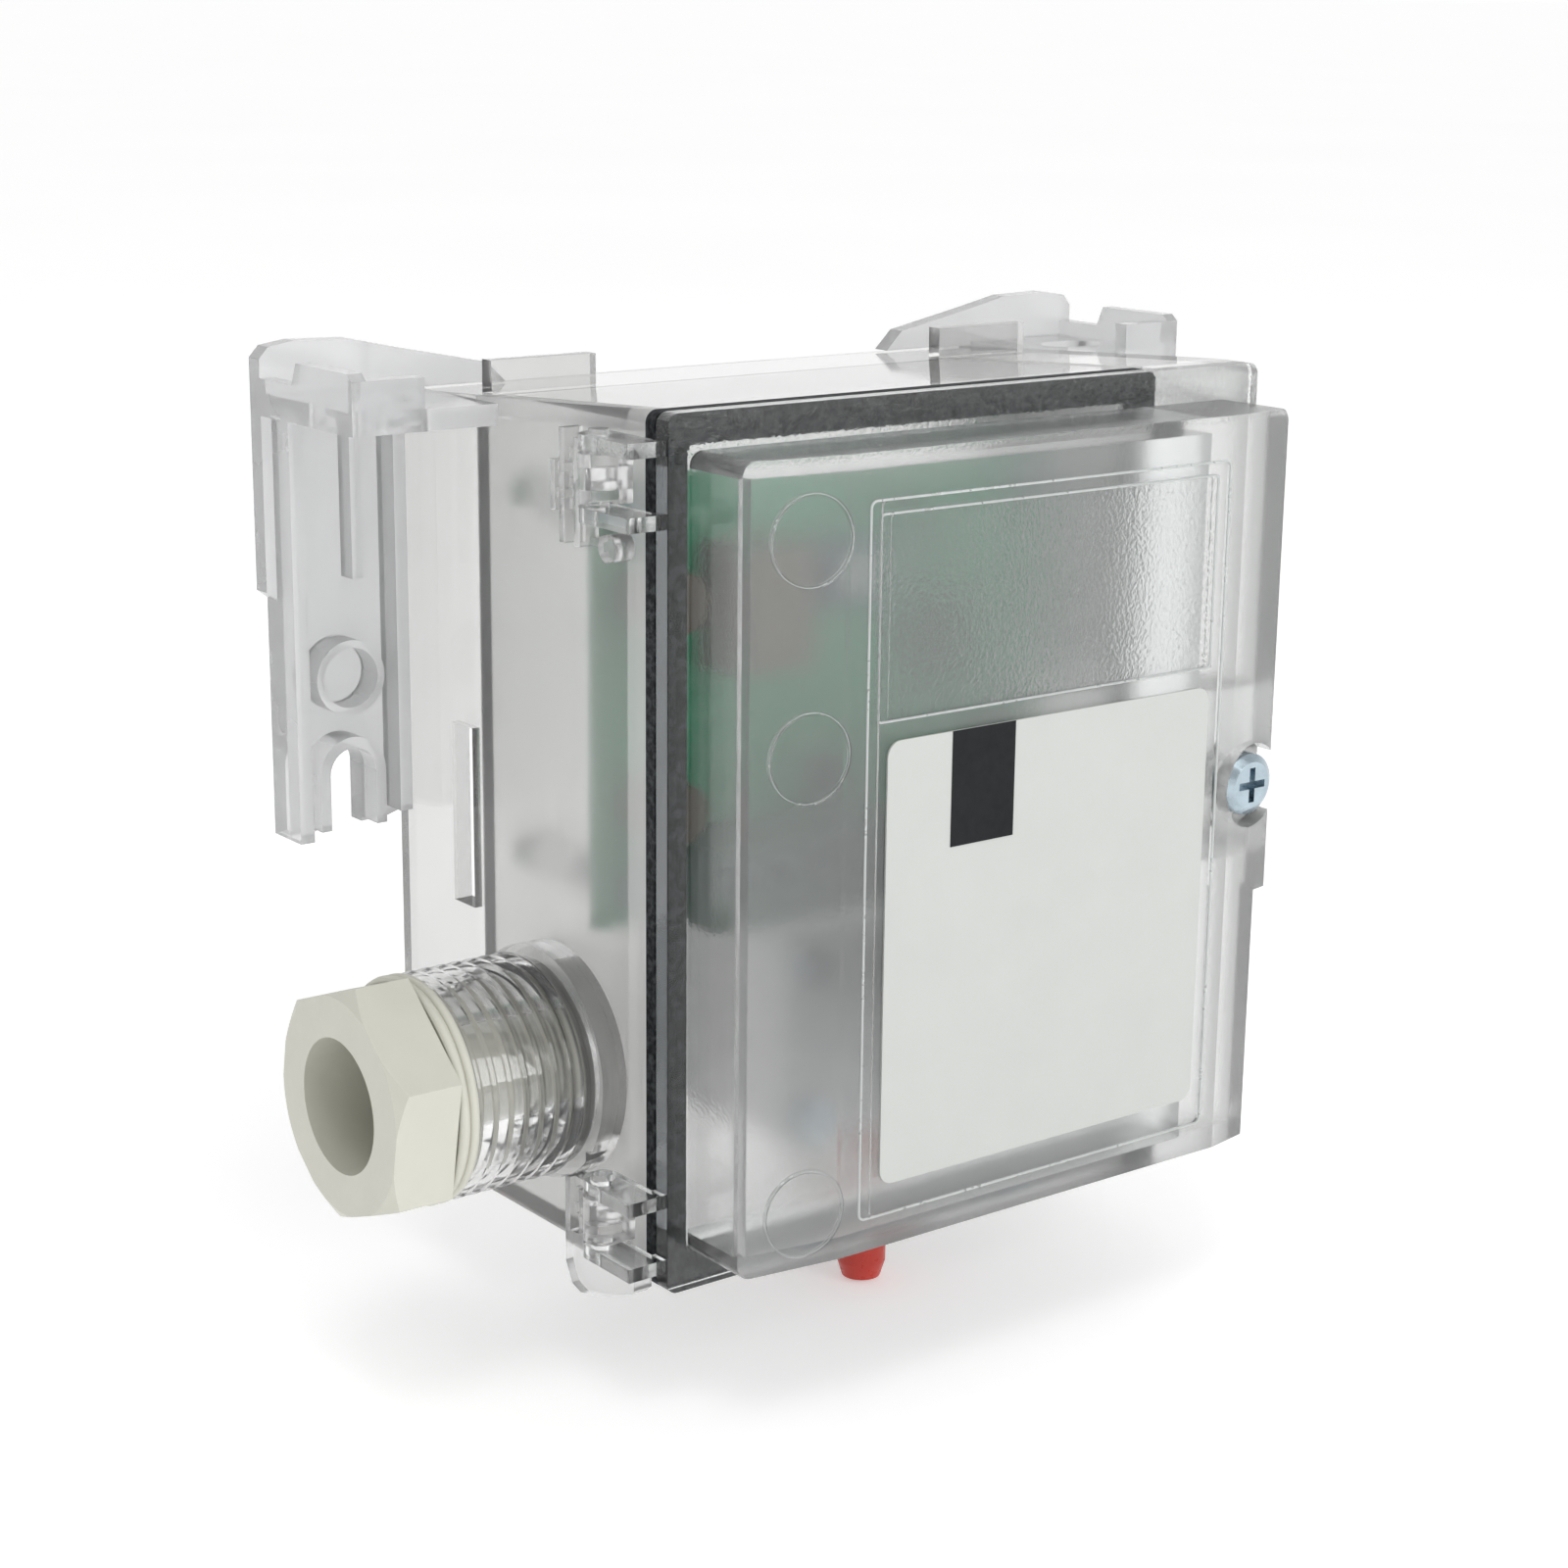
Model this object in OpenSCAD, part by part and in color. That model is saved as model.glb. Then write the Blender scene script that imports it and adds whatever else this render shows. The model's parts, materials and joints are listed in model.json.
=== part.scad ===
// Differential pressure transmitter in a clear case with a hinged cover.
// Millimetres. X runs to the right, Y runs back to the wall, Z runs up.
// The origin lies on the wall face, at the top middle of the rear frame.

/* [Case] */
// Width of the case
case_w = 85.4; // [70:0.1:110]
// Height of the case
case_h = 97; // [80:0.1:125]
// Depth from the gasket plane to the back of the sealed chamber
chamber_d = 36; // [30:0.1:45]
// Depth from the gasket plane to the wall
wall_d = 53; // [47:0.1:70]
// Wall thickness of the case
case_t = 2.4; // [1.8:0.1:3.2]
// Width of the sealed chamber
chamber_w = 70; // [60:0.1:76]
// Corner radius of the case
case_r = 1.4; // [1:0.1:4]

/* [Cover] */
// Depth of the raised cover box in front of the gasket plane
cover_d = 11.5; // [9:0.1:16]
// How far the flat front stands out beyond the slanted side bands
bow_d = 1.6; // [0.5:0.1:3]
// Wall thickness of the cover
cover_t = 2; // [1.5:0.1:2.6]
// Rim left around the raised box
cover_rim = 3.4; // [2.5:0.1:5]
// Width of the slanted band on the hinge side
band_l = 12.8; // [8:0.1:16]
// Width of the slanted band on the screw side
band_r = 8.3; // [6:0.1:12]
// Depth of the recess around window and label
panel_recess = 0.5; // [0.2:0.1:0.8]
// Gap between parts that move past each other
gap = 0.3; // [0.2:0.05:0.4]

/* [Gasket] */
// Thickness of the gasket
gasket_t = 1.6; // [1:0.1:3]
// Width of the gasket strip
gasket_w = 3.6; // [2.6:0.1:4.5]

/* [Label] */
// Bare strip left and right of the label inside the recess
label_side = 1.5; // [0.8:0.1:6]
// Bare strip below the label inside the recess
label_foot = 3.3; // [1:0.1:8]
// Height of the window above the label
window_h = 22.3; // [16:0.1:40]
// Thickness of the label
label_t = 0.25; // [0.15:0.05:0.35]
// Width of the dark field
field_w = 9; // [5:0.1:12]
// Height of the dark field
field_h = 13; // [8:0.1:16]

/* [Hinge] */
// Height of the lower hinge, and depth of the upper one below the top
hinge_z = 7.3; // [7:0.1:9]
// Distance of the cover arms from the middle of each hinge
arm_z = 3.8; // [3.3:0.1:3.9]
// Distance of the hinge axis from the case wall
hinge_out = 2.8; // [2.5:0.1:4]
// Distance of the hinge axis behind the gasket plane
hinge_back = 6; // [5:0.1:7]
// Radius of the hinge knuckles
knuckle_r = 2.2; // [1.8:0.1:2.4]
// Radius of the hinge pin
pin_r = 1.1; // [0.8:0.1:1.3]

/* [Cover screw] */
// Diameter of the screw head
screw_head_d = 7.4; // [6:0.1:8]
// Diameter of the screw shank
screw_d = 4; // [3:0.1:4.4]
// Height of the screw above the lower edge of the case
screw_z = 48.6; // [44:0.1:53]

/* [Cable gland] */
// Outside diameter of the gland spigot
spigot_d = 25.6; // [24.5:0.1:27]
// Bore of the gland spigot
spigot_bore = 21.4; // [20.5:0.1:22]
// Length of the gland spigot
spigot_l = 18; // [14:0.1:24]
// Width across the flats of the gland nut
nut_af = 24.2; // [22:0.1:26]
// Length of the hexagon of the gland nut
nut_l = 7.6; // [6:0.1:10]
// Bore of the gland nut
nut_bore = 15.2; // [12:0.1:16]
// Distance of the gland axis behind the gasket plane
gland_y = 18.7; // [17.5:0.1:20]
// Height of the gland axis
gland_z = 22; // [19:0.1:26]
// Turn of the hexagon about its axis in degrees
nut_turn = 10; // [0:1:59]

/* [Wall ears] */
// Width of each ear beside the case
ear_w = 18.2; // [16:0.1:22]
// Thickness of the ears
ear_t = 2.4; // [1.8:0.1:3.5]
// Depth of the ribs and collars on the ears
ear_rib = 3.8; // [2:0.1:6]
// Width of the open slots
slot_w = 6; // [4:0.1:6.5]

/* [Pressure ports] */
// Outside diameter of the port nozzles
port_d = 6; // [5:0.1:7]
// How far the nozzles reach below the case
port_l = 14; // [10:0.1:20]
// Distance between the two nozzles
port_gap = 12; // [10:0.1:12.4]

/* [Board] */
// Thickness of the circuit board
board_t = 1.6; // [1:0.1:2]
// Distance of the board front behind the gasket plane
board_y = 14; // [13:0.1:16]

/* [Hidden] */
$fn = 48;
seam = 0.02;
mid_x = case_w / 2;
datum_z = case_h - 3.3 - case_t / 2;
front_y = gasket_t;
flange_t = cover_t;
flange_back = -gap;
flange_front = flange_back - flange_t;
box_x0 = 2.8;
box_x1 = case_w - 4.1;
box_z0 = cover_rim + 0.8;
box_z1 = case_h - cover_rim - 0.6;
box_front = -cover_d;
flat_front = -cover_d - bow_d;
panel_y = flat_front + panel_recess;
panel_x0 = box_x0 + band_l + 4.2;
panel_x1 = box_x1 - band_r - 2.4;
panel_z0 = box_z0 + 3.8;
panel_z1 = box_z1 - 5.1;
window_z = panel_z1 - 1.6 - window_h;
label_x = panel_x0 + label_side;
label_w = panel_x1 - panel_x0 - 2 * label_side;
label_z = panel_z0 + label_foot;
label_h = window_z - 2.2 - label_z;
slot_edge = case_w - chamber_w;
hx = -hinge_out;
hy = hinge_back;
screw_x = case_w - 7.7;
ear_x = -ear_w;
hole_x = ear_x + 8.4;
ear_back = wall_d - ear_t;
ear_front = ear_back - ear_rib;
hinges = [hinge_z, case_h - hinge_z];
cell_x = chamber_w - 28.5;
nut_front = spigot_l + 2.9 + nut_l;
board_x0 = case_t + 1.2;
board_x1 = chamber_w - case_t - 1.4;
board_z0 = 37.5;
board_z1 = case_h - 9;
board_back = board_y + board_t;
trim_x = 33.5;
trim_z = board_z1 - 12.5;
chamber_back = chamber_d - case_t;
port_y = chamber_back - 6.6 - port_gap;
cell_front = port_y - 6;
term_x = board_x0 + 8.4;
term_step = 5.2;

module place() {
  translate([-mid_x, -wall_d, -datum_z]) children();
}

module bar(x0, x1, y0, y1, z0, z1) {
  translate([x0, y0, z0]) cube([x1 - x0, y1 - y0, z1 - z0]);
}

module along_x(x0, x1) {
  translate([x0, 0, 0]) rotate([90, 0, 90]) linear_extrude(x1 - x0) children();
}

module along_y(y0, y1) {
  translate([0, y1, 0]) rotate([90, 0, 0]) linear_extrude(y1 - y0) children();
}

module rod_x(x0, x1, y, z, r) {
  translate([x0, y, z]) rotate([0, 90, 0]) cylinder(h = x1 - x0, r = r);
}

module rod_y(y0, y1, x, z, r) {
  translate([x, y1, z]) rotate([90, 0, 0]) cylinder(h = y1 - y0, r = r);
}

module rod_z(z0, z1, x, y, r) {
  translate([x, y, z0]) cylinder(h = z1 - z0, r = r);
}

module cone_z(z0, z1, x, y, ra, rb) {
  translate([x, y, z0]) cylinder(h = z1 - z0, r1 = ra, r2 = rb);
}

module round_rect(x0, x1, z0, z1, r) {
  translate([x0 + r, z0]) square([x1 - x0 - 2 * r, z1 - z0]);
  translate([x0, z0 + r]) square([x1 - x0, z1 - z0 - 2 * r]);
  translate([x0 + r, z0 + r]) circle(r);
  translate([x1 - r, z0 + r]) circle(r);
  translate([x0 + r, z1 - r]) circle(r);
  translate([x1 - r, z1 - r]) circle(r);
}

module mirror_pair() {
  children();
  translate([case_w, 0, 0]) mirror([1, 0, 0]) children();
}

// One ear beside the case: upright plate with ribs and collars, ceiling plate and rims.
module ear() {
  lug_y = chamber_d - 6;
  slot_y = ear_front - 6;
  difference() {
    union() {
      along_y(ear_back, wall_d)
        polygon([
          [ear_x + 1.3, 43], [ear_x + 1.3, 71], [ear_x, 72], [ear_x, case_h + 1.4],
          [ear_x + 1.2, case_h + 2.7], [ear_x + 4.5, case_h + 3.2], [-6.5, case_h + 3],
          [0, case_h + 1.6], [5, case_h + 0.6], [11, case_h - 0.6], [13.5, case_h - 3],
          [-seam, case_h - 3], [-seam, 44.6], [hole_x + slot_w / 2 + 3.4, 43.6]
        ]);
      bar(ear_x + 1.3, ear_x + 3.1, ear_front, wall_d, 43, case_h - 4.9);
      bar(ear_x + 14.6, ear_x + 16.2, ear_front, wall_d, 45, case_h - 4.9);
      bar(ear_x + 9.6, ear_x + 11, ear_front + 1.2, wall_d, 73, case_h - 4.9);
      rod_y(ear_front, wall_d, hole_x, 61.8, 4.4);
      rod_y(ear_front, wall_d, hole_x, 50.5, slot_w / 2 + 1.3);
      bar(hole_x - slot_w / 2 - 1.3, hole_x + slot_w / 2 + 1.3, ear_front, wall_d, 44, 50.5);
    }
    rod_y(ear_front - 1, ear_back, hole_x, 61.8, 3.5);
    rod_y(ear_front - 1, wall_d + 1, hole_x, 50.5, slot_w / 2);
    bar(hole_x - slot_w / 2, hole_x + slot_w / 2, ear_front - 1, wall_d + 1, 42, 50.5);
  }
  difference() {
    bar(ear_x, -seam, lug_y, wall_d, case_h - 4.9, case_h - 2.5);
    bar(ear_x + 4 + slot_w / 2, ear_x + 13 - slot_w / 2, slot_y - slot_w / 2,
        slot_y + slot_w / 2, case_h - 9, case_h);
    rod_z(case_h - 9, case_h, ear_x + 4 + slot_w / 2, slot_y, slot_w / 2);
    rod_z(case_h - 9, case_h, ear_x + 13 - slot_w / 2, slot_y, slot_w / 2);
  }
  bar(ear_x, ear_x + 1.8, lug_y, wall_d, case_h - 4.9, case_h - 0.7);
  along_x(ear_x, ear_x + 1.8)
    polygon([[lug_y, case_h - 4], [lug_y, case_h + 1], [lug_y + 1, case_h + 1.8],
             [lug_y + 12.2, case_h + 1.8], [lug_y + 13.4, case_h - 1], [lug_y + 13.4, case_h - 4]]);
  bar(ear_x, ear_x + 9, lug_y, lug_y + 2, case_h - 4.9, case_h + 1);
}

module ears() {
  place() color([0.86, 0.88, 0.88]) mirror_pair() ear();
}

module hinge_block(z) {
  rod_z(z - arm_z + 1.2, z + arm_z - 1.2, hx, hy, knuckle_r);
  bar(hx, -seam, hy - knuckle_r, hy + knuckle_r, z - arm_z + 1.2, z + arm_z - 1.2);
  rod_z(z - arm_z - 1.3, z + arm_z + 1.3, hx, hy, pin_r);
}

// Lifting ribs behind a hinge, up to a given height above and below its middle.
module hinge_ribs(z, low, high) {
  bar(-2.4, -seam, hy + 4.2, hy + 5.4, z + low, z + high);
  bar(-2.4, -seam, hy + 7.2, hy + 8.2, z + low, z + high + 0.8);
  bar(-1.7, -seam, hy + 5.3, hy + 7.3, z - 2.2, z - 1);
  bar(-1.7, -seam, hy + 5.3, hy + 7.3, z + 1, z + 2.2);
  bar(-2, -seam, hy + knuckle_r - 0.1, hy + 4.3, z - 1.6, z + 0.8);
}

module hinge_blocks() {
  top = hinges[1];
  low = hinges[0];
  place() color([0.86, 0.88, 0.88]) {
    union() {
      hinge_block(top);
      hinge_ribs(top, -8, 3.5);
      bar(-1.8, -seam, hy + 8.1, hy + 9.7, top - 3.4, top - 2.4);
      bar(-1.8, -seam, hy + 8.1, hy + 9.7, top - 0.6, top + 0.4);
      bar(-2, -seam, hy + 9.6, hy + 10.5, top - 4.8, top + 0.6);
      rod_x(-2.6, -seam, hy - 1, top - arm_z - 3.6, 1.5);
      bar(-1.2, -seam, hy - 1, hy + 4.3, top - arm_z - 4.2, top - arm_z - 3.2);
    }
    union() {
      hinge_block(low);
      hinge_ribs(low, -4.5, 1.4);
      along_x(-2.4, -seam)
        polygon([[0.6, 1.6], [0.6, 0.1], [1.4, -0.6], [6.9, -2.8], [11.2, -3.8], [13, -3.2],
                 [14.2, -0.8], [14.2, 3.2], [hy + 4.2, 3.2], [hy + 4.2, 1.6]]);
    }
  }
}

module board_posts() {
  place() color([0.86, 0.88, 0.88])
    for (x = [board_x0 + 4.5, board_x1 - 4.5])
      for (z = [board_z0 + 4.5, board_z1 - 4.5])
        difference() {
          rod_y(board_back, chamber_back - seam, x, z, 2.6);
          rod_y(board_back - 1, board_back + 7, x, z, 1.2);
        }
}

// Clear spigot of the gland with its round ridges and the collar at the wall.
module gland_socket() {
  crest = spigot_d / 2;
  step = (spigot_l - 4.4) / 7;
  place() color([0.86, 0.88, 0.88]) difference() {
    union() {
      rod_x(-3.2, -seam, gland_y, gland_z, crest + 0.6);
      rod_x(-spigot_l, -3.1, gland_y, gland_z, crest - 0.8);
      for (k = [0:6])
        translate([-spigot_l + 0.3 + k * step, gland_y, gland_z]) rotate([0, 90, 0]) {
          cylinder(h = step * 0.42, r1 = crest - 0.9, r2 = crest);
          translate([0, 0, step * 0.42]) cylinder(h = step * 0.42, r1 = crest, r2 = crest - 0.9);
        }
    }
    rod_x(-spigot_l - 1, 1, gland_y, gland_z, spigot_bore / 2);
    rod_z(-2, hinges[0] + arm_z + 3, hx, hy, knuckle_r + 2 * gap);
  }
}

module case_outer() {
  intersection() {
    along_x(0, case_w)
      polygon([[front_y, 0], [front_y, case_h], [wall_d, case_h - 3.3], [wall_d, 0]]);
    along_y(front_y, wall_d) round_rect(0, case_w, 0, case_h, case_r);
  }
}

module case_inner() {
  top_front = case_h - case_t;
  top_back = case_h - case_t - 2.1;
  along_x(case_t, chamber_w - case_t)
    polygon([[front_y - 1, case_t], [front_y - 1, top_front],
             [chamber_back, top_back], [chamber_back, case_t]]);
}

module housing() {
  place() color([0.86, 0.88, 0.88]) difference() {
    union() {
      difference() {
        case_outer();
        case_inner();
        bar(case_t, case_w - case_t, chamber_d, wall_d + 1, -1, case_h - 3.2 - case_t);
        bar(chamber_w, case_w - case_t, front_y - 1, chamber_back, case_t, 38);
        bar(chamber_w, case_w - case_t, front_y - 1, chamber_back, 59, case_h - 3 - case_t);
        bar(-1, case_w + 1, chamber_d + 0.5, chamber_d + 5, 35, 56.5);
      }
      bar(3, 17, chamber_d, chamber_d + 2, case_h - 4, case_h + 1.4);
      bar(case_w - 17, case_w - 3, chamber_d, chamber_d + 2, case_h - 4, case_h + 1.4);
      rod_z(-3, 0.1, cell_x, port_y, port_d / 2 + 2);
      rod_z(-3, 0.1, cell_x, port_y + port_gap, port_d / 2 + 2);
      intersection() {
        bar(chamber_w + 0.3, case_w, 0, front_y + 0.1, 0, case_h);
        along_y(-1, front_y + 0.1) round_rect(0, case_w, 0, case_h, case_r);
      }
    }
    bar(chamber_w, case_w - case_t, -1, front_y + 1, case_t, 38);
    bar(chamber_w, case_w - case_t, -1, front_y + 1, 59, case_h - 3 - case_t);
    rod_x(-1, case_t + 1, gland_y, gland_z, spigot_bore / 2);
    rod_y(-1, 16, screw_x, screw_z, screw_d / 2 + 0.7);
    rod_z(-4, case_t + 1, cell_x, port_y, port_d / 2 - 0.35);
    rod_z(-4, case_t + 1, cell_x, port_y + port_gap, port_d / 2 - 0.35);
  }
}

module cover_plan(inset) {
  polygon([
    [box_x0 + inset, 1],
    [box_x0 + inset, box_front + inset],
    [box_x0 + band_l + inset * 0.2, flat_front + inset],
    [box_x1 - band_r - inset * 0.2, flat_front + inset],
    [box_x1 - inset, box_front + inset],
    [box_x1 - inset, 1]
  ]);
}

// Three shallow ring marks on the slanted band at the hinge side.
module band_rings() {
  lean = atan(bow_d / band_l);
  for (z = [box_z0 + 6.2, screw_z + 12.8, box_z1 - 8.6])
    translate([box_x0 + band_l * 0.64, box_front - bow_d * 0.64, z]) rotate([0, 0, -lean])
      difference() {
        rod_y(-1, 0.22, 0, 0, 5.1);
        rod_y(-2, 1, 0, 0, 4.65);
      }
}

module hinge_arm(z) {
  rod_z(z - 0.8, z + 0.8, hx, hy, knuckle_r);
  bar(hx - knuckle_r, -gap - 0.3, flange_front, hy, z - 0.8, z + 0.8);
  bar(hx - knuckle_r, 1.6, flange_front, flange_back, z - 0.8, z + 0.8);
}

module cover() {
  place() color([0.84, 0.87, 0.86]) difference() {
    union() {
      along_y(flange_front, flange_back) round_rect(0, case_w, 0, case_h, case_r);
      intersection() {
        translate([0, 0, box_z0]) linear_extrude(box_z1 - box_z0) cover_plan(0);
        along_y(flat_front - 1, flange_back)
          round_rect(box_x0, box_x1, box_z0, box_z1, 1.6);
      }
      for (z = hinges) {
        hinge_arm(z - arm_z);
        hinge_arm(z + arm_z);
      }
    }
    intersection() {
      translate([0, 0, box_z0 + cover_t]) linear_extrude(box_z1 - box_z0 - 2 * cover_t)
        cover_plan(cover_t);
      bar(box_x0, chamber_w - 1.6, flat_front, 1, 0, case_h);
    }
    for (z = hinges)
      rod_z(z - 6, z + 6, hx, hy, pin_r + gap);
    along_y(flat_front - 1, panel_y)
      round_rect(panel_x0, panel_x1, panel_z0, panel_z1, 0.8);
    along_y(panel_y - 0.1, panel_y + 0.25)
      round_rect(panel_x0 + 1.6, panel_x1 - 2.2, window_z, panel_z1 - 1.6, 0.6);
    rod_y(flat_front - 2, box_front + 2.2, screw_x, screw_z, screw_head_d / 2 + 1.4);
    rod_y(flat_front - 2, 1, screw_x, screw_z, screw_d / 2 + 0.3);
    bar(box_x1 - 2.2, box_x1 + 1, flat_front - 1, flange_front - 3.2, -1, 35.4);
    band_rings();
  }
}

module cover_gasket() {
  place() color([0.17, 0.18, 0.19]) difference() {
    along_y(0, gasket_t) round_rect(0, chamber_w, 0, case_h, case_r);
    along_y(-1, gasket_t + 1)
      round_rect(gasket_w, chamber_w - gasket_w, gasket_w, case_h - gasket_w, 1);
  }
}

module label() {
  place() color([0.87, 0.88, 0.86]) along_y(panel_y - label_t, panel_y)
    round_rect(label_x, label_x + label_w, label_z, label_z + label_h, 1.8);
}

module label_field() {
  place() color([0.17, 0.18, 0.19])
    bar(label_x + 9, label_x + 9 + field_w, panel_y - label_t - 0.1, panel_y - label_t,
        label_z + label_h - field_h, label_z + label_h);
}

module cover_screw() {
  seat = box_front + 2.2;
  place() color([0.72, 0.76, 0.8]) difference() {
    union() {
      rod_y(seat - 2.2, seat - 0.02, screw_x, screw_z, screw_head_d / 2);
      translate([screw_x, seat - 2.2, screw_z]) rotate([90, 0, 0])
        cylinder(h = 0.7, r1 = screw_head_d / 2, r2 = screw_head_d / 2 - 0.9);
      rod_y(seat - 0.1, 7, screw_x, screw_z, screw_d / 2);
    }
    bar(screw_x - 2.1, screw_x + 2.1, seat - 4, seat - 1.4, screw_z - 0.45, screw_z + 0.45);
    bar(screw_x - 0.45, screw_x + 0.45, seat - 4, seat - 1.4, screw_z - 2.1, screw_z + 2.1);
  }
}

module gland_nut() {
  hex_r = nut_af / sqrt(3);
  back = spigot_l + 2.9;
  collar = spigot_d / 2;
  place() color([0.8, 0.8, 0.76]) difference() {
    union() {
      intersection() {
        translate([-nut_front, gland_y, gland_z]) rotate([0, 90, 0]) rotate([0, 0, nut_turn])
          cylinder(h = nut_l, r = hex_r, $fn = 6);
        translate([-nut_front, gland_y, gland_z]) rotate([0, 90, 0])
          cylinder(h = nut_l, r1 = hex_r - 1.7, r2 = hex_r + nut_l * 1.3);
      }
      rod_x(-back, -spigot_l - gap, gland_y, gland_z, collar - 1.2);
      rod_x(-back + 0.3, -back + 1.2, gland_y, gland_z, collar - 0.2);
      rod_x(-back + 1.6, -back + 2.5, gland_y, gland_z, collar - 0.3);
      rod_x(-spigot_l - gap - 0.1, -5.5, gland_y, gland_z, spigot_bore / 2 - gap);
    }
    rod_x(-nut_front - 1, -4, gland_y, gland_z, nut_bore / 2);
  }
}

module gland_ring() {
  place() color([0.74, 0.74, 0.7]) difference() {
    rod_x(-5.2, -4, gland_y, gland_z, spigot_bore / 2 - 0.02);
    rod_x(-6, -3, gland_y, gland_z, nut_bore / 2);
  }
}

module gland_seal() {
  place() color([0.24, 0.25, 0.26]) difference() {
    rod_x(-4, 2, gland_y, gland_z, spigot_bore / 2 - 0.02);
    rod_x(-5, 3, gland_y, gland_z, nut_bore / 2 - 2.2);
  }
}

module nozzle(y) {
  difference() {
    union() {
      rod_z(-3.4, 8, cell_x, y, port_d / 2 - 0.4);
      rod_z(-port_l + 2, -3.2, cell_x, y, port_d / 2);
      cone_z(-port_l, -port_l + 2, cell_x, y, port_d / 2 - 0.6, port_d / 2);
    }
    rod_z(-port_l - 1, 9, cell_x, y, port_d / 2 - 1.3);
  }
}

module port_high() {
  place() color([0.78, 0.18, 0.12]) nozzle(port_y);
}

module port_low() {
  place() color([0.84, 0.86, 0.87]) nozzle(port_y + port_gap);
}

module cell_body() {
  place() color([0.66, 0.67, 0.68]) difference() {
    along_y(cell_front, port_y + port_gap + 4)
      round_rect(cell_x - 17.5, cell_x + 17.5, 8, 34, 3);
    for (y = [port_y, port_y + port_gap])
      rod_z(7, 20, cell_x, y, port_d / 2 - 1.3);
  }
}

module cell_cap() {
  place() color([0.6, 0.61, 0.62]) union() {
    rod_y(cell_front - 2, cell_front, cell_x, 21, 11);
    rod_y(cell_front - 3.4, cell_front - 1.9, cell_x, 21, 8);
  }
}

module cell_screws() {
  place() color([0.72, 0.74, 0.76])
    for (x = [cell_x - 14, cell_x + 14])
      for (z = [11.5, 30.5])
        difference() {
          rod_y(cell_front - 1.8, cell_front, x, z, 2.4);
          bar(x - 1.6, x + 1.6, cell_front - 2, cell_front - 1.2, z - 0.35, z + 0.35);
        }
}

module cell_pad() {
  place() color([0.3, 0.3, 0.31])
    bar(cell_x - 14, cell_x + 14, port_y + port_gap + 4, chamber_back, 12, 30);
}

module board() {
  place() color([0.28, 0.5, 0.36]) difference() {
    bar(board_x0, board_x1, board_y, board_back, board_z0, board_z1);
    for (x = [board_x0 + 4.5, board_x1 - 4.5])
      for (z = [board_z0 + 4.5, board_z1 - 4.5])
        rod_y(board_y - 1, board_back + 1, x, z, 1.4);
  }
}

module board_screws() {
  place() color([0.72, 0.74, 0.76])
    for (x = [board_x0 + 4.5, board_x1 - 4.5])
      for (z = [board_z0 + 4.5, board_z1 - 4.5])
        difference() {
          union() {
            rod_y(board_y - 1.8, board_y, x, z, 2.6);
            rod_y(board_y - 0.1, board_back + 5, x, z, 1.18);
          }
          bar(x - 1.7, x + 1.7, board_y - 2, board_y - 1, z - 0.4, z + 0.4);
        }
}

module terminal_block() {
  place() color([0.34, 0.4, 0.38]) difference() {
    bar(term_x, term_x + 5 * term_step, board_y - 10, board_y, board_z0 + 0.5, board_z0 + 10);
    for (k = [0:4])
      rod_y(board_y - 11, board_y - 7, term_x + 2.6 + k * term_step, board_z0 + 6.6, 1.9);
    for (k = [0:4])
      bar(term_x + 1 + k * term_step, term_x + 4.2 + k * term_step, board_y - 8,
          board_y - 4.4, board_z0, board_z0 + 3);
  }
}

module terminal_screws() {
  place() color([0.74, 0.75, 0.76])
    for (k = [0:4])
      difference() {
        rod_y(board_y - 8.8, board_y - 7, term_x + 2.6 + k * term_step, board_z0 + 6.6, 1.86);
        bar(term_x + 1 + k * term_step, term_x + 4.2 + k * term_step, board_y - 9,
            board_y - 8.2, board_z0 + 6.3, board_z0 + 6.9);
      }
}

module main_chip() {
  place() color([0.13, 0.13, 0.14])
    bar(trim_x + 8.5, trim_x + 18.5, board_y - 1.5, board_y, trim_z - 13.5, trim_z - 3.5);
}

module small_chips() {
  place() color([0.13, 0.13, 0.14]) union() {
    bar(term_x + 18, term_x + 23, board_y - 1.6, board_y, board_z0 + 11.5, board_z0 + 16.5);
    bar(trim_x + 8.5, trim_x + 12.5, board_y - 1.6, board_y, trim_z + 1.5, trim_z + 6.5);
    bar(board_x1 - 11.2, board_x1 - 6.2, board_y - 1.4, board_y, board_z0 + 14.5, board_z0 + 18.5);
  }
}

module capacitors() {
  place() color([0.5, 0.33, 0.25]) union() {
    rod_y(board_y - 7.5, board_y, board_x0 + 5.9, board_z1 - 13, 3.4);
    rod_y(board_y - 7.5, board_y, board_x0 + 5.9, board_z0 + 14, 3.4);
  }
}

module relay() {
  place() color([0.56, 0.5, 0.45])
    bar(term_x + 5, term_x + 14, board_y - 7, board_y, board_z1 - 22, board_z1 - 8);
}

module trimmer_body() {
  place() color([0.2, 0.34, 0.6]) difference() {
    bar(trim_x - 3.5, trim_x + 3.5, board_y - 4.5, board_y, trim_z - 3.5, trim_z + 3.5);
    rod_y(board_y - 6, board_y - 2.9, trim_x, trim_z, 2.6);
  }
}

module trimmer_rotor() {
  place() color([0.85, 0.85, 0.82]) difference() {
    rod_y(board_y - 5, board_y - 3.2, trim_x, trim_z, 2.3);
    bar(trim_x - 1.8, trim_x + 1.8, board_y - 6, board_y - 4.2, trim_z - 0.4, trim_z + 0.4);
  }
}

module cell_plug() {
  place() color([0.86, 0.85, 0.8])
    bar(board_x1 - 17.8, board_x1 - 7.6, board_y - 6, board_y, board_z0 + 0.5, board_z0 + 6);
}

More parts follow.
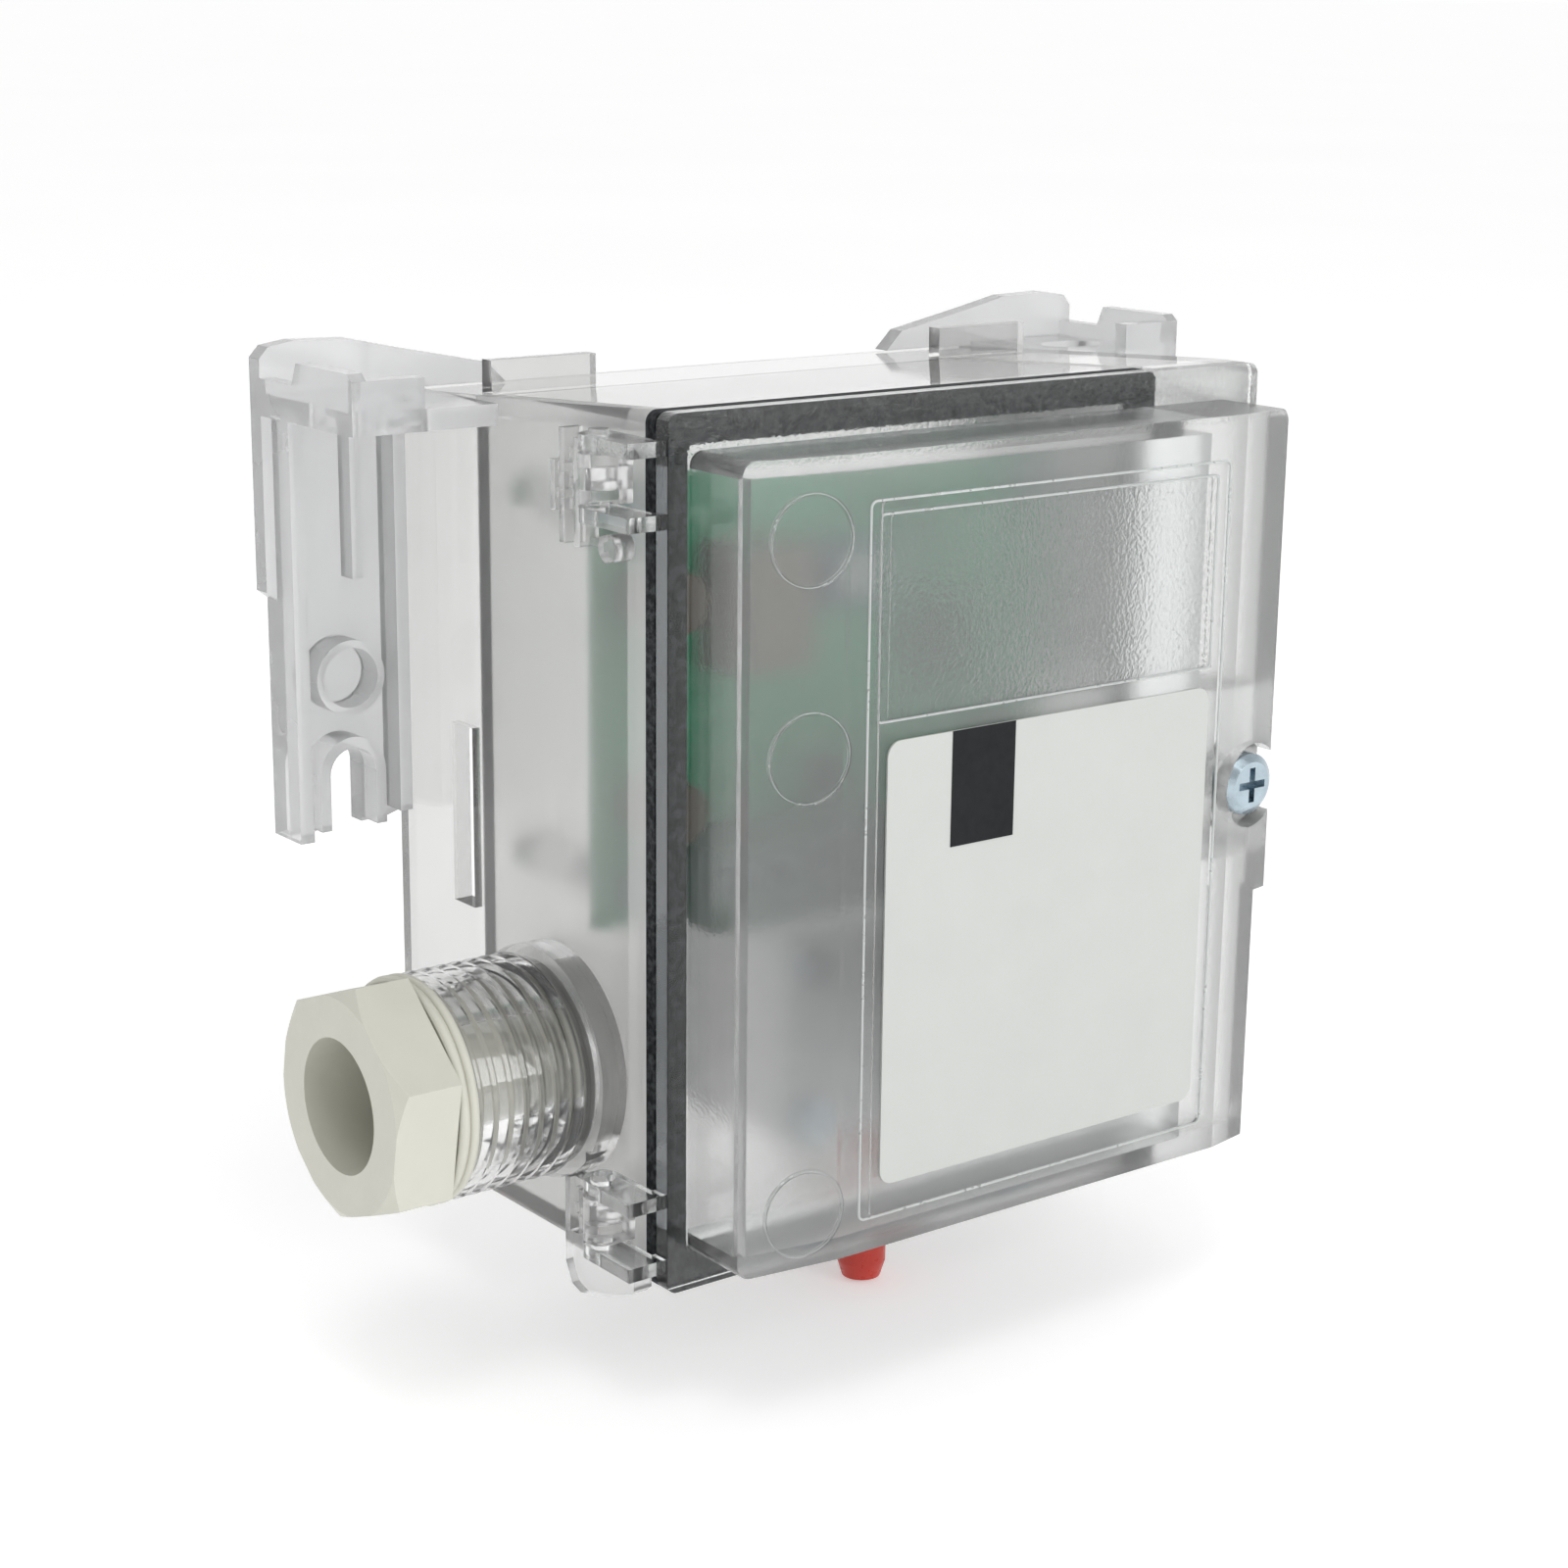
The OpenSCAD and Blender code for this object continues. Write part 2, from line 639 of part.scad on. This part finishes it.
housing();
gland_socket();
ears();
hinge_blocks();
board_posts();
cover();
cover_gasket();
label();
label_field();
cover_screw();
gland_nut();
gland_ring();
gland_seal();
port_high();
port_low();
cell_body();
cell_cap();
cell_screws();
cell_pad();
board();
board_screws();
terminal_block();
terminal_screws();
main_chip();
small_chips();
capacitors();
relay();
trimmer_body();
trimmer_rotor();
cell_plug();
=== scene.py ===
import json
import math

import bmesh
import bpy
from mathutils import Matrix, Vector


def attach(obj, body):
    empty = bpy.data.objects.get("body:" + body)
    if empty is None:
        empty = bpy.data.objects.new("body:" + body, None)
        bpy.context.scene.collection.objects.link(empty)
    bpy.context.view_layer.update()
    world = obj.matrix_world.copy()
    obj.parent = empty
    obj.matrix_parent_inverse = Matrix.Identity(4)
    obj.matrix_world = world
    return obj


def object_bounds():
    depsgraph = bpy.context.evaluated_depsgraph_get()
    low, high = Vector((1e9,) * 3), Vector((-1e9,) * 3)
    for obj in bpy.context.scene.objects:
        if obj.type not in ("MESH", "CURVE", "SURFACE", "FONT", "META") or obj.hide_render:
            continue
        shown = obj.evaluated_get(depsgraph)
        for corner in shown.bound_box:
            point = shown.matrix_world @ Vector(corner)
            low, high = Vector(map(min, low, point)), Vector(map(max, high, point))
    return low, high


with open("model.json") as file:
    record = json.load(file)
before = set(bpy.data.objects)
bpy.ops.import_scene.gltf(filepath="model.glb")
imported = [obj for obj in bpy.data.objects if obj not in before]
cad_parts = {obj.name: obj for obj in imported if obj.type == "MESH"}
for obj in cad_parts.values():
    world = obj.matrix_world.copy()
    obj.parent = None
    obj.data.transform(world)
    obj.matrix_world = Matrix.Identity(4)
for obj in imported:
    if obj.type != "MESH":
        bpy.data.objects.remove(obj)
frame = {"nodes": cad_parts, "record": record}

cad_low, cad_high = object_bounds()
NODES = frame["nodes"]

# Sizes of the CAD model in its own millimetres: X from the left wall of the case,
# Y from the gasket plane back to the wall, Z from the lower edge of the case.
CASE_T = 2.4
CHAMBER_D = 36.0
CHAMBER_W = 70.0
RIM_D = 5.2
RIM_TOP_Z = 92.6
RIM_X0 = 0.0
RIM_FRONT_Y = -2.6
BAND_BACK_Y = -9.0
# Half width of the painted gasket reflection on the side of the cover rim.
SIDE_SHADE = 0.15
COLLAR_X = -3.3
GROOVE_HALF = 0.2
GROOVE_X = (-11.87, -9.93, -7.99, -6.04, -3.6)
WINDOW_X0, WINDOW_X1 = 19.9, 69.2
WINDOW_Z0, WINDOW_Z1 = 64.0, 86.3
PANEL_X0, PANEL_X1 = 18.2, 70.6
PANEL_Z0, PANEL_Z1 = 8.0, 87.9
PANEL_Y = -12.6
ORIGIN = Vector((42.7, 53.0, 92.5))


def at(x, y, z):
    """A point in case millimetres as a point in the frame, in metres."""
    return (Vector((x, y, z)) - ORIGIN) / 1000


# Camera: the place, turn and lens that were fitted to the photograph.
CAMERA_PLACE = Vector((-0.222295, -0.309932, 0.046379))
CAMERA_RIGHT = Vector((0.79092607, -0.61178147, 0.01262506))
CAMERA_UP = Vector((0.15192955, 0.21632074, 0.96442872))
CAMERA_LOOK = Vector((0.59275068, 0.76087369, -0.26404139))
FOCAL_PIXELS = 3124.0
PHOTO_SIZE = 1600.0
CENTRE_X = 824.0
CENTRE_Y = 844.0

camera_data = bpy.data.cameras.new("camera")
camera_data.sensor_width = 36
camera_data.lens = 36 * FOCAL_PIXELS / PHOTO_SIZE
camera_data.shift_x = (PHOTO_SIZE / 2 - CENTRE_X) / PHOTO_SIZE
camera_data.shift_y = (CENTRE_Y - PHOTO_SIZE / 2) / PHOTO_SIZE
camera_data.clip_start = 0.01
camera = bpy.data.objects.new("camera", camera_data)
turn = Matrix((CAMERA_RIGHT, CAMERA_UP, -CAMERA_LOOK)).transposed().to_4x4()
camera.matrix_world = Matrix.Translation(CAMERA_PLACE) @ turn
bpy.context.scene.collection.objects.link(camera)
bpy.context.scene.camera = camera


# Ends of the useful range of Blender's noise, and the index of refraction of the plastic.
NOISE_LOW, NOISE_HIGH = 0.3, 0.7
PLASTIC_IOR = 1.49
WAVE_DEPTH = 0.0006
PORE_DEPTH = 0.0001
BLACK = (0.0, 0.0, 0.0)
PALE = (1.0, 1.0, 0.99)


class Shade:
    """A material with a node tree, and short calls that add its nodes."""

    def __init__(self, name):
        self.material = bpy.data.materials.new(name)
        self.material.use_nodes = True
        self.tree = self.material.node_tree
        self.bsdf = self.tree.nodes["Principled BSDF"]
        self.coords = self.add("ShaderNodeTexCoord").outputs["Object"]

    def add(self, kind, **settings):
        node = self.tree.nodes.new(kind)
        for key, value in settings.items():
            setattr(node, key, value)
        return node

    def link(self, a, b):
        self.tree.links.new(a, b)

    def set(self, **values):
        for key, value in values.items():
            self.bsdf.inputs[key.replace("_", " ")].default_value = value

    def noise(self, scale, detail=2.0, rough=0.5):
        """Soft random change, with its scale in waves per metre."""
        node = self.add("ShaderNodeTexNoise")
        node.inputs["Scale"].default_value = scale
        node.inputs["Detail"].default_value = detail
        node.inputs["Roughness"].default_value = rough
        self.link(self.coords, node.inputs["Vector"])
        return node.outputs["Fac"]

    def ramp(self, value, stops):
        """Colours along a value, each stop a place and a colour."""
        node = self.add("ShaderNodeValToRGB")
        elements = node.color_ramp.elements
        while len(elements) < len(stops):
            elements.new(0.5)
        for element, (place, colour) in zip(elements, stops):
            element.position = place
            element.color = (*colour, 1)
        self.link(value, node.inputs["Fac"])
        return node.outputs["Color"]

    def between(self, value, low, high, to_low=0.0, to_high=1.0):
        """The value moved from one range to another and held at its ends."""
        node = self.add("ShaderNodeMapRange")
        node.inputs["From Min"].default_value = low
        node.inputs["From Max"].default_value = high
        node.inputs["To Min"].default_value = to_low
        node.inputs["To Max"].default_value = to_high
        self.link(value, node.inputs["Value"])
        return node.outputs["Result"]

    def varied(self, scale, detail, low, high):
        """Noise spread between two values."""
        return self.between(self.noise(scale, detail), NOISE_LOW, NOISE_HIGH, low, high)

    def mottled(self, scale, detail, dark, light):
        """Base colour that drifts between two tints."""
        stops = [(NOISE_LOW, dark), (NOISE_HIGH, light)]
        self.colour(self.ramp(self.noise(scale, detail), stops))

    def grey(self, light):
        """Base colour from a brightness, nearly neutral."""
        self.colour(self.ramp(light, [(0.0, BLACK), (1.0, PALE)]))

    def axis(self, letter):
        node = self.add("ShaderNodeSeparateXYZ")
        self.link(self.coords, node.inputs["Vector"])
        return node.outputs[letter]

    def math(self, operation, a, b=None):
        node = self.add("ShaderNodeMath", operation=operation)
        for socket, value in zip(node.inputs, (a, b)):
            if isinstance(value, (int, float)):
                socket.default_value = value
            elif value is not None:
                self.link(value, socket)
        return node.outputs["Value"]

    def bump(self, *layers):
        """Each layer is a height output, its strength and its distance in metres."""
        last = None
        for height, strength, distance in layers:
            node = self.add("ShaderNodeBump")
            node.inputs["Strength"].default_value = strength
            node.inputs["Distance"].default_value = distance
            self.link(height, node.inputs["Height"])
            if last:
                self.link(last, node.inputs["Normal"])
            last = node.outputs["Normal"]
        self.link(last, self.bsdf.inputs["Normal"])

    def colour(self, output):
        self.link(output, self.bsdf.inputs["Base Color"])

    def rough(self, output):
        self.link(output, self.bsdf.inputs["Roughness"])


def clear_plastic(name, tint, rough, clear):
    """Clear moulding: slightly grey, gently wavy, with a share of milky haze."""
    s = Shade(name)
    s.set(Transmission_Weight=clear, IOR=PLASTIC_IOR)
    s.mottled(90, 3, tuple(c * 0.97 for c in tint), tint)
    s.rough(s.varied(260, 4, rough * 0.7, rough * 1.3))
    s.bump((s.noise(70, 2), 0.05, WAVE_DEPTH))
    return s.material


def within(s, axis, low, high, soft=0.0003):
    """One between two places along an axis and zero outside."""
    rise = s.between(s.axis(axis), low - soft, low, 0, 1)
    fall = s.between(s.axis(axis), high, high + soft, 1, 0)
    return s.math("MULTIPLY", rise, fall)


def case_plastic(name):
    """The shell: clear at the back, hazy along the chamber, milky at the gasket rim."""
    s = Shade(name)
    s.set(IOR=PLASTIC_IOR)
    edge = at(CASE_T, CHAMBER_D, 0)
    before = s.between(s.axis("Y"), edge.y - 0.002, edge.y, 1, 0)
    mottle = s.varied(90, 3, 0.97, 1.0)
    left = s.between(s.axis("X"), edge.x, edge.x + 0.0004, 1, 0)
    inner = at(CHAMBER_W - CASE_T, 0, 0).x
    outer = at(CHAMBER_W, 0, 0).x
    right = within(s, "X", inner, outer)
    light = s.math("MULTIPLY", s.between(before, 0, 1, 0.76, 0.93), mottle)
    right_shade = s.between(s.math("MULTIPLY", right, before), 0, 1, 1, 0.55)
    s.grey(s.math("MULTIPLY", light, right_shade))
    hazy = s.math("MULTIPLY", s.math("ADD", left, right), before)
    fine = s.varied(260, 2, 0.05, 0.08)
    s.rough(s.math("ADD", fine, s.math("MULTIPLY", hazy, 0.27)))
    rim_edge = at(0, RIM_D, 0).y
    rim = s.between(s.axis("Y"), rim_edge - 0.0005, rim_edge, 1, 0)
    rim = s.math("MAXIMUM", rim, s.math("MULTIPLY", right, before))
    s.link(s.between(rim, 0, 1, 0.93, 0.62), s.bsdf.inputs["Transmission Weight"])
    s.bump((s.noise(40, 1), 0.03, WAVE_DEPTH))
    return s.material


def cover_plastic(name):
    """The cover: a clear rim over the gasket, a hazy box and a pebbled window."""
    s = Shade(name)
    s.set(IOR=PLASTIC_IOR)
    rim_edge = at(0, RIM_FRONT_Y, 0).y
    box = s.between(s.axis("Y"), rim_edge - 0.0003, rim_edge, 1, 0)
    s.link(s.between(box, 0, 1, 1.0, 0.93), s.bsdf.inputs["Transmission Weight"])
    # Painted reflection: the narrow side of the rim is painted near black, standing in for the
    # black gasket that it reflects and shows through.
    low_side = at(RIM_X0 - SIDE_SHADE, 0, 0).x
    high_side = at(RIM_X0 + SIDE_SHADE, 0, 0).x
    painted_gasket_reflection = within(s, "X", low_side, high_side, 0.00005)
    painted_gasket_reflection = s.math("MULTIPLY", painted_gasket_reflection, s.between(box, 0, 1, 1, 0))
    # The tone grain is held at zero over the painted reflection, where the ramp gives the
    # near-black colour below.
    grain = s.math("MULTIPLY", s.noise(700, 2), s.between(painted_gasket_reflection, 0, 1, 1, 0))
    dark = (0.03, 0.033, 0.036)
    low_tint = (0.9, 0.915, 0.912)
    high_tint = (0.94, 0.95, 0.947)
    s.colour(s.ramp(grain, [(0.05, dark), (0.12, low_tint), (0.65, high_tint)]))
    low = at(WINDOW_X0, 0, WINDOW_Z0)
    high = at(WINDOW_X1, 0, WINDOW_Z1)
    window = s.math("MULTIPLY", within(s, "X", low.x, high.x), within(s, "Z", low.z, high.z))
    front_edge = at(0, BAND_BACK_Y, 0).y
    front = s.between(s.axis("Y"), front_edge, front_edge - 0.0015, 0, 1)
    s.rough(s.between(front, 0, 1, 0.12, 0.25))
    pebbles = s.noise(1900, 2, 0.6)
    top_edge = at(0, 0, RIM_TOP_Z).z
    top = s.between(s.axis("Z"), top_edge - 0.0005, top_edge, 0, 1)
    grainy = s.math("MAXIMUM", window, s.math("MULTIPLY", top, 0.6))
    height = s.math("MULTIPLY", pebbles, s.between(grainy, 0, 1, 0.12, 1))
    s.bump((s.noise(60, 2), 0.03, WAVE_DEPTH), (height, 0.5, 0.0003))
    return s.material


def socket_plastic(name):
    """The ridged socket: very clear, with painted shade darkening its grooves, a little milky at
    the wall.
    """
    s = Shade(name)
    s.set(IOR=PLASTIC_IOR)
    # Painted shade: bands over the grooves where the base colour is halved, standing in for the
    # shade in the valleys between the ridges.
    painted_groove_shade = None
    for x in GROOVE_X:
        low = at(x - GROOVE_HALF, 0, 0).x
        high = at(x + GROOVE_HALF, 0, 0).x
        band = within(s, "X", low, high, 0.0002)
        painted_groove_shade = s.math("MAXIMUM", painted_groove_shade, band) if painted_groove_shade else band
    light = s.math("MULTIPLY", s.varied(90, 3, 0.93, 0.96), s.between(painted_groove_shade, 0, 1, 1, 0.5))
    s.colour(s.ramp(light, [(0.0, BLACK), (1.0, (1.0, 1.0, 0.995))]))
    s.rough(s.varied(260, 2, 0.03, 0.06))
    collar_edge = at(COLLAR_X, 0, 0).x
    collar = s.between(s.axis("X"), collar_edge - 0.0002, collar_edge, 0, 1)
    s.link(s.between(collar, 0, 1, 0.97, 0.9), s.bsdf.inputs["Transmission Weight"])
    s.bump((s.noise(70, 2), 0.04, WAVE_DEPTH))
    return s.material


def speckled(name, low, high, scale):
    """Matt rubber with fine pale grains."""
    s = Shade(name)
    s.set(Specular_IOR_Level=0.2)
    grain = s.noise(scale, 3, 0.65)
    s.colour(s.ramp(grain, [(0.42, low), (0.64, high)]))
    s.rough(s.between(grain, NOISE_LOW, NOISE_HIGH, 0.6, 0.85))
    s.bump((grain, 0.5, 0.0002))
    return s.material


def moulded(name, colour, rough, change, **settings):
    """Opaque moulding or print: a drifting tint, uneven polish and fine pores."""
    s = Shade(name)
    s.set(**settings)
    s.mottled(140, 4, tuple(c * (1 - change) for c in colour), colour)
    s.rough(s.varied(900, 3, *rough))
    s.bump((s.noise(1700, 2), 0.12, PORE_DEPTH))
    return s.material


def metal(name, colour, rough):
    """Plated or cast metal with a slightly cloudy surface."""
    s = Shade(name)
    s.set(Metallic=1.0)
    s.mottled(500, 4, tuple(c * 0.82 for c in colour), colour)
    s.rough(s.varied(800, 4, *rough))
    s.bump((s.noise(1300, 3), 0.15, PORE_DEPTH))
    return s.material


def printed_board(name):
    """Green lacquered board with faint raised tracks."""
    s = Shade(name)
    base = s.ramp(s.noise(60, 2), [(0.35, (0.025, 0.25, 0.12)), (0.65, (0.045, 0.33, 0.165))])
    tracks = s.add("ShaderNodeTexBrick")
    tracks.inputs["Scale"].default_value = 260
    tracks.inputs["Mortar Size"].default_value = 0.012
    tracks.inputs["Color1"].default_value = (*BLACK, 1)
    tracks.inputs["Color2"].default_value = (*BLACK, 1)
    tracks.inputs["Mortar"].default_value = (1, 1, 1, 1)
    mapping = s.add("ShaderNodeMapping")
    mapping.inputs["Rotation"].default_value = (math.radians(90), 0, 0)
    s.link(s.coords, mapping.inputs["Vector"])
    s.link(mapping.outputs["Vector"], tracks.inputs["Vector"])
    mix = s.add("ShaderNodeMix", data_type="RGBA")
    s.link(tracks.outputs["Color"], mix.inputs["Factor"])
    s.link(base, mix.inputs["A"])
    mix.inputs["B"].default_value = (0.1, 0.38, 0.22, 1)
    s.colour(mix.outputs["Result"])
    s.rough(s.varied(400, 2, 0.22, 0.35))
    s.bump((tracks.outputs["Color"], 0.3, 0.00005))
    return s.material


MATERIALS = {
    "clear_case": case_plastic("clear_case"),
    "clear_cover": cover_plastic("clear_cover"),
    "black_rubber": speckled(
        "black_rubber", (0.004, 0.005, 0.006), (0.055, 0.06, 0.064), 1100
    ),
    "white_film": moulded("white_film", (0.53, 0.545, 0.522), (0.45, 0.6), 0.03),
    "dark_print": moulded(
        "dark_print", (0.008, 0.01, 0.012), (0.5, 0.65), 0.25, Specular_IOR_Level=0.2
    ),
    "zinc": metal("zinc", (0.46, 0.55, 0.61), (0.18, 0.38)),
    "grey_plastic": moulded("grey_plastic", (0.62, 0.615, 0.54), (0.42, 0.55), 0.05),
    "red_plastic": moulded("red_plastic", (0.5, 0.035, 0.02), (0.25, 0.35), 0.06),
    "cell_metal": metal("cell_metal", (0.78, 0.78, 0.79), (0.5, 0.65)),
    "board_green": printed_board("board_green"),
    "black_plastic": moulded("black_plastic", (0.018, 0.018, 0.02), (0.45, 0.6), 0.3),
    "terminal_grey": moulded("terminal_grey", (0.09, 0.15, 0.12), (0.45, 0.6), 0.15),
    "brown_body": moulded("brown_body", (0.12, 0.1, 0.07), (0.35, 0.5), 0.2),
    "blue_plastic": moulded("blue_plastic", (0.04, 0.09, 0.15), (0.3, 0.4), 0.15),
}

# Nodes that differ a little from their slot: plain clear ones and the grey seal.
VARIANTS = {
    "ears": clear_plastic("clear_ears", (0.85, 0.853, 0.857), 0.12, 0.7),
    "hinge_blocks": clear_plastic("clear_hinges", (0.9, 0.903, 0.9), 0.08, 0.86),
    "gland_socket": socket_plastic("clear_socket"),
    "board_posts": clear_plastic("clear_posts", (0.9, 0.9, 0.9), 0.05, 0.95),
    "port_low": clear_plastic("clear_port", (0.88, 0.883, 0.88), 0.05, 0.93),
    "gland_seal": moulded("seal_rubber", (0.36, 0.36, 0.34), (0.6, 0.75), 0.08),
}

for subpart in frame["record"]["subparts"]:
    name = subpart["node"]
    node = NODES[name]
    node.data.materials.clear()
    node.data.materials.append(VARIANTS.get(name) or MATERIALS[subpart["material_slot"]])

# Fine rounded beads along the edges of the recess, the window and the ring marks.
EDGE_BEAD_R = 0.15
RING_BEAD_R = 0.07
TUBE_SIDES = 10
CORNER_STEPS = 6
RING_STEPS = 48
NUT_RING_STEPS = 72
PANEL_CORNER = 0.8
WINDOW_CORNER = 0.6
PANEL_RECESS = 0.5
BOW_D = 1.6
BAND_L = 12.8
RING_X = 11.0
RING_Y = -12.5
RING_R = 4.9
RING_HEIGHTS = (10.4, 61.4, 84.4)
GLAND_Y = 18.7
GLAND_Z = 22.0
NUT_RING_X = (-20.1, -18.9)
NUT_RING_R = 12.25
NUT_RING_THICK = 0.62


def rounded_loop(x0, x1, z0, z1, radius):
    """Points of an upright rectangle with round corners, in case millimetres."""
    points = []
    corners = ((x1, z1, 0), (x0, z1, 90), (x0, z0, 180), (x1, z0, 270))
    for x, z, start in corners:
        cx = x - radius if x == x1 else x + radius
        cz = z - radius if z == z1 else z + radius
        for k in range(CORNER_STEPS + 1):
            angle = math.radians(start + 90 * k / CORNER_STEPS)
            points.append(Vector((cx + radius * math.cos(angle), 0, cz + radius * math.sin(angle))))
    return points


def circle_loop(centre, across, upward, radius, steps):
    """Points of a circle in the plane of two directions, in case millimetres."""
    points = []
    for k in range(steps):
        angle = 2 * math.pi * k / steps
        points.append(centre + (across * math.cos(angle) + upward * math.sin(angle)) * radius)
    return points


def tube_along(name, points, normal, radius, material, body):
    """A closed tube of round section along a flat closed loop of points."""
    mesh = bpy.data.meshes.new(name)
    form = bmesh.new()
    rings = []
    count = len(points)
    for k, point in enumerate(points):
        ahead = (points[(k + 1) % count] - points[k - 1]).normalized()
        out = ahead.cross(normal).normalized()
        ring = []
        for j in range(TUBE_SIDES):
            angle = 2 * math.pi * j / TUBE_SIDES
            offset = out * math.cos(angle) + normal * math.sin(angle)
            ring.append(form.verts.new(at(*(point + offset * radius))))
        rings.append(ring)
    for k in range(count):
        ring, following = rings[k], rings[(k + 1) % count]
        for j in range(TUBE_SIDES):
            i = (j + 1) % TUBE_SIDES
            form.faces.new((ring[j], following[j], following[i], ring[i]))
    bmesh.ops.recalc_face_normals(form, faces=form.faces)
    for face in form.faces:
        face.smooth = True
    form.to_mesh(mesh)
    form.free()
    piece = bpy.data.objects.new(name, mesh)
    bpy.context.scene.collection.objects.link(piece)
    mesh.materials.append(material)
    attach(piece, body)
    return piece


BEAD_TINT = (0.8, 0.83, 0.82)
bead_plastic = moulded(
    "bead_plastic", BEAD_TINT, (0.25, 0.4), 0.06, Transmission_Weight=0.45, IOR=PLASTIC_IOR
)
faint_bead = moulded(
    "faint_bead", BEAD_TINT, (0.15, 0.3), 0.06, Transmission_Weight=0.75, IOR=PLASTIC_IOR
)
SIDEWAYS = Vector((1, 0, 0))
INWARD = Vector((0, 1, 0))
UPWARD = Vector((0, 0, 1))
panel_line = rounded_loop(PANEL_X0, PANEL_X1, PANEL_Z0, PANEL_Z1, PANEL_CORNER)
window_line = rounded_loop(WINDOW_X0, WINDOW_X1, WINDOW_Z0, WINDOW_Z1, WINDOW_CORNER)
for name, line, depth in (
    ("panel_bead", panel_line, PANEL_Y - PANEL_RECESS),
    ("window_bead", window_line, PANEL_Y),
):
    placed = [point + INWARD * depth for point in line]
    tube_along(name, placed, INWARD, EDGE_BEAD_R, bead_plastic, "cover_group")

# Ring marks on the slanted band at the hinge side.
band_lean = math.atan2(BOW_D, BAND_L)
band_across = Vector((math.cos(band_lean), -math.sin(band_lean), 0))
band_normal = Vector((math.sin(band_lean), math.cos(band_lean), 0))
for k, z in enumerate(RING_HEIGHTS):
    centre = Vector((RING_X, RING_Y, z))
    circle = circle_loop(centre, band_across, UPWARD, RING_R, RING_STEPS)
    tube_along(
        f"ring_bead_{k}", circle, band_normal, RING_BEAD_R,
        faint_bead, "cover_group",
    )

# Two bold rings behind the hexagon of the gland nut.
for k, x in enumerate(NUT_RING_X):
    centre = Vector((x, GLAND_Y, GLAND_Z))
    circle = circle_loop(centre, INWARD, UPWARD, NUT_RING_R, NUT_RING_STEPS)
    tube_along(
        f"nut_ring_{k}", circle, SIDEWAYS, NUT_RING_THICK,
        MATERIALS["grey_plastic"], "nut",
    )

# Floor: a pale, faintly glowing sheet just under the nozzles.
FLOOR_SIZE = 200.0
FLOOR_DROP = 0.0005
FLOOR_GLOW = 0.36
floor_mesh = bpy.data.meshes.new("floor")
form = bmesh.new()
bmesh.ops.create_grid(form, x_segments=1, y_segments=1, size=FLOOR_SIZE / 2)
form.to_mesh(floor_mesh)
form.free()
floor = bpy.data.objects.new("floor", floor_mesh)
floor.location = (0, 0, cad_low.z - FLOOR_DROP)
bpy.context.scene.collection.objects.link(floor)
floor_shade = Shade("floor_paper")
floor_shade.set(Emission_Color=(1, 1, 1, 1), Emission_Strength=FLOOR_GLOW)
floor_shade.mottled(3, 2, (0.86, 0.86, 0.86), (0.88, 0.88, 0.88))
floor_shade.rough(floor_shade.varied(30, 2, 0.85, 0.95))
floor_mesh.materials.append(floor_shade.material)

# Light: a pale surround, brighter behind the case than before it, and two soft panels.
world = bpy.data.worlds.new("surround")
world.use_nodes = True
tree = world.node_tree
background = tree.nodes["Background"]
background.inputs["Color"].default_value = (1, 1, 1, 1)
direction = tree.nodes.new("ShaderNodeTexCoord")
parts = tree.nodes.new("ShaderNodeSeparateXYZ")
tree.links.new(direction.outputs["Generated"], parts.inputs["Vector"])


def world_range(axis, low, high, to_low, to_high):
    """Brightness along one axis of the direction, eased between two places."""
    node = tree.nodes.new("ShaderNodeMapRange")
    node.interpolation_type = "SMOOTHSTEP"
    values = {"From Min": low, "From Max": high, "To Min": to_low, "To Max": to_high}
    for key, value in values.items():
        node.inputs[key].default_value = value
    tree.links.new(parts.outputs[axis], node.inputs["Value"])
    return node.outputs["Result"]


def world_math(operation, a, b):
    node = tree.nodes.new("ShaderNodeMath")
    node.operation = operation
    tree.links.new(a, node.inputs[0])
    tree.links.new(b, node.inputs[1])
    return node.outputs[0]


front_to_back = world_range("Y", -0.5, 0.3, 0.72, 1.0)
up = world_range("Z", 0.1, 0.8, 1.0, 0.8)
left_to_right = world_range("X", -0.9, -0.1, 0.6, 1.0)
strength = world_math("MULTIPLY", world_math("MULTIPLY", front_to_back, up), left_to_right)
# Near the horizon it is white all round, so that it runs into the floor.
horizon = world_range("Z", 0.12, 0.4, 1.0, 0.0)
tree.links.new(world_math("MAXIMUM", strength, horizon), background.inputs["Strength"])
bpy.context.scene.world = world


LIGHT_TARGET = Vector((0, -0.03, -0.04))


def panel_light(name, place, size, power):
    """A square soft light that looks at the middle of the case, in metres and watts."""
    data = bpy.data.lights.new(name, "AREA")
    data.shape = "SQUARE"
    data.size = size
    data.energy = power
    lamp = bpy.data.objects.new(name, data)
    lamp.location = place
    lamp.rotation_euler = (LIGHT_TARGET - Vector(place)).to_track_quat("-Z", "Y").to_euler()
    bpy.context.scene.collection.objects.link(lamp)


panel_light("soft_front", (0.25, -1.0, 0.35), 0.6, 4)
panel_light("soft_top", (-0.25, -0.3, 0.7), 0.3, 1)

bpy.context.scene.view_settings.view_transform = "Standard"
